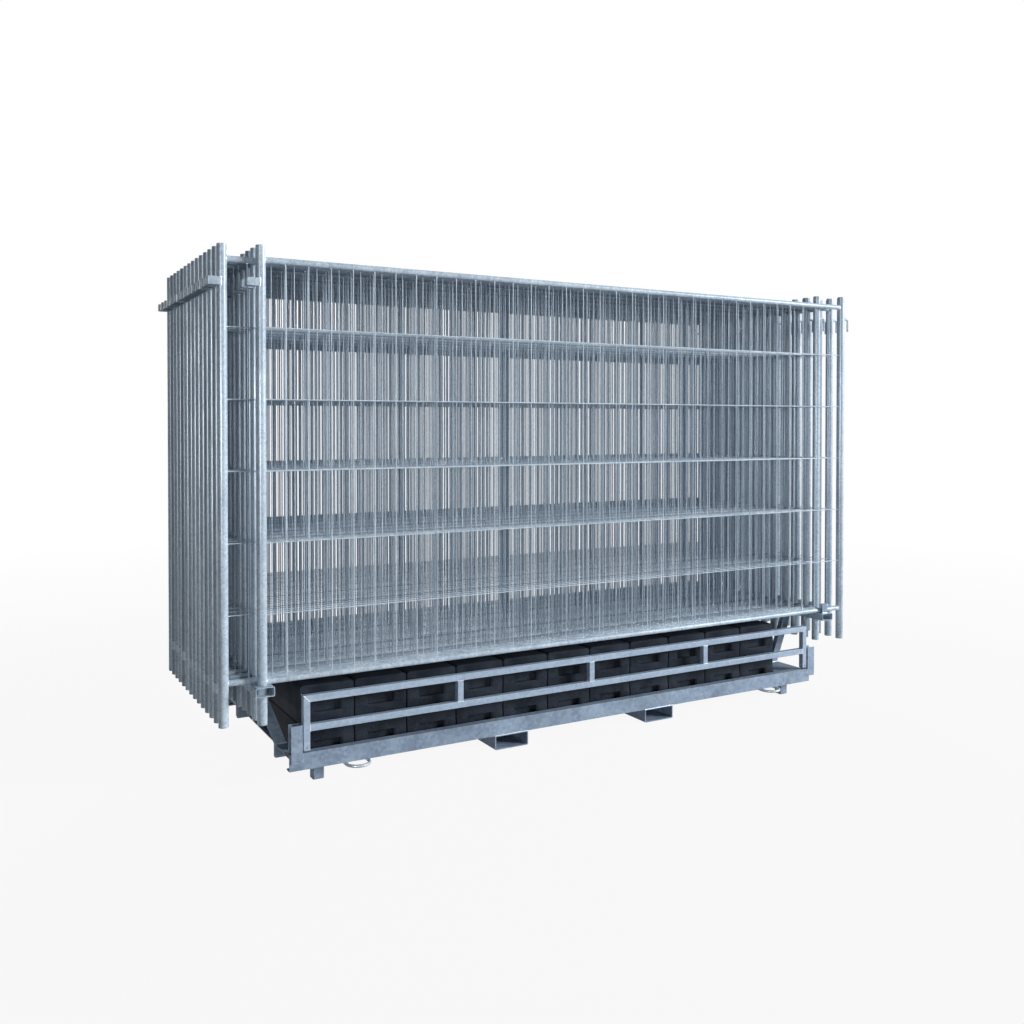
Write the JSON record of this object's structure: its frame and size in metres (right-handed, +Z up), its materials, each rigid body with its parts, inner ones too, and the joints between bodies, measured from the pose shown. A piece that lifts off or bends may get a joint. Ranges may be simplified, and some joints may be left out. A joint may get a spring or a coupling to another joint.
{
  "type": "loaded fence panel transport rack",
  "caption": "Galvanised steel forklift rack holding nested hook-and-eye mesh fence panels upright over two layers of plastic foot blocks behind fold-down gates.",
  "frame": {"origin": "middle of the rack's footprint, at the level it stands on", "axes": "+X along the panels to the hook end, -Y to the loading front, +Z up"},
  "size_m": [3.686, 1.2816, 2.2848],
  "materials": {
    "galvanised_tube": "hot-dip galvanised tube, satin",
    "galvanised_wire": "galvanised wire, satin",
    "galvanised_sheet": "hot-dip galvanised folded steel, matt with faint spangle",
    "galvanised_gate": "hot-dip galvanised square tube, satin",
    "zinc_plated_bar": "zinc plated bar, bright satin",
    "recycled_plastic": "matt recycled plastic, near black"
  },
  "bodies": {
    "rack": {"panel_02": "galvanised_tube", "panel_03": "galvanised_tube", "panel_04": "galvanised_tube", "panel_05": "galvanised_tube", "panel_06": "galvanised_tube", "panel_07": "galvanised_tube", "panel_08": "galvanised_tube", "panel_09": "galvanised_tube", "panel_10": "galvanised_tube", "panel_11": "galvanised_tube", "panel_12": "galvanised_tube", "panel_13": "galvanised_tube", "panel_14": "galvanised_tube", "panel_15": "galvanised_tube", "panel_16": "galvanised_tube", "panel_17": "galvanised_tube", "panel_18": "galvanised_tube", "panel_19": "galvanised_tube", "panel_20": "galvanised_tube", "panel_21": "galvanised_tube", "panel_22": "galvanised_tube", "panel_23": "galvanised_tube", "panel_24": "galvanised_tube", "panel_25": "galvanised_tube", "panel_26": "galvanised_tube", "panel_27": "galvanised_tube", "left_support_tube": "galvanised_tube", "right_support_tube": "galvanised_tube", "stop_plates": "galvanised_sheet", "struts": "galvanised_sheet", "strut_feet": "galvanised_sheet", "corner_platforms": "galvanised_sheet", "front_sill": "galvanised_sheet", "rear_sill": "galvanised_sheet", "floor_plate": "galvanised_sheet", "left_fork_pocket": "galvanised_sheet", "right_fork_pocket": "galvanised_sheet", "legs": "galvanised_sheet", "gate_guides": "galvanised_sheet", "lashing_rings": "zinc_plated_bar", "pivot_pins": "zinc_plated_bar", "lower_foot_blocks": "recycled_plastic", "upper_foot_blocks": "recycled_plastic"},
    "front_panel": {"front_panel_left_post": "galvanised_tube", "front_panel_right_post": "galvanised_tube", "front_panel_top_rail": "galvanised_tube", "front_panel_bottom_rail": "galvanised_tube", "front_panel_upright_wires": "galvanised_wire", "front_panel_cross_wires": "galvanised_wire", "front_panel_hook": "galvanised_tube", "front_panel_eye": "galvanised_tube"},
    "rear_panel": {"panel_28": "galvanised_tube"},
    "front_gate": {"front_gate": "galvanised_gate"},
    "rear_gate": {"rear_gate": "galvanised_gate"},
    "front_lock_pin": {"front_lock_pin": "zinc_plated_bar"},
    "rear_lock_pin": {"rear_lock_pin": "zinc_plated_bar"}
  },
  "joints": [
    {"name": "front_panel_lift", "type": "slide", "parent": "rack", "child": "front_panel", "axis": [0, 0, 1], "range_m": [0, 0.25]},
    {"name": "rear_panel_lift", "type": "slide", "parent": "rack", "child": "rear_panel", "axis": [0, 0, 1], "range_m": [0, 0.25]},
    {"name": "front_gate_hinge", "type": "hinge", "parent": "rack", "child": "front_gate", "pos_m": [0.021, -0.567, 0.162], "axis": [1, 0, 0], "range_deg": [0, 105]},
    {"name": "rear_gate_hinge", "type": "hinge", "parent": "rack", "child": "rear_gate", "pos_m": [-0.021, 0.567, 0.162], "axis": [-1, 0, 0], "range_deg": [0, 105]},
    {"name": "front_lock_slide", "type": "slide", "parent": "rack", "child": "front_lock_pin", "axis": [1, 0, 0], "range_m": [0, 0.022]},
    {"name": "rear_lock_slide", "type": "slide", "parent": "rack", "child": "rear_lock_pin", "axis": [-1, 0, 0], "range_m": [0, 0.022]}
  ]
}
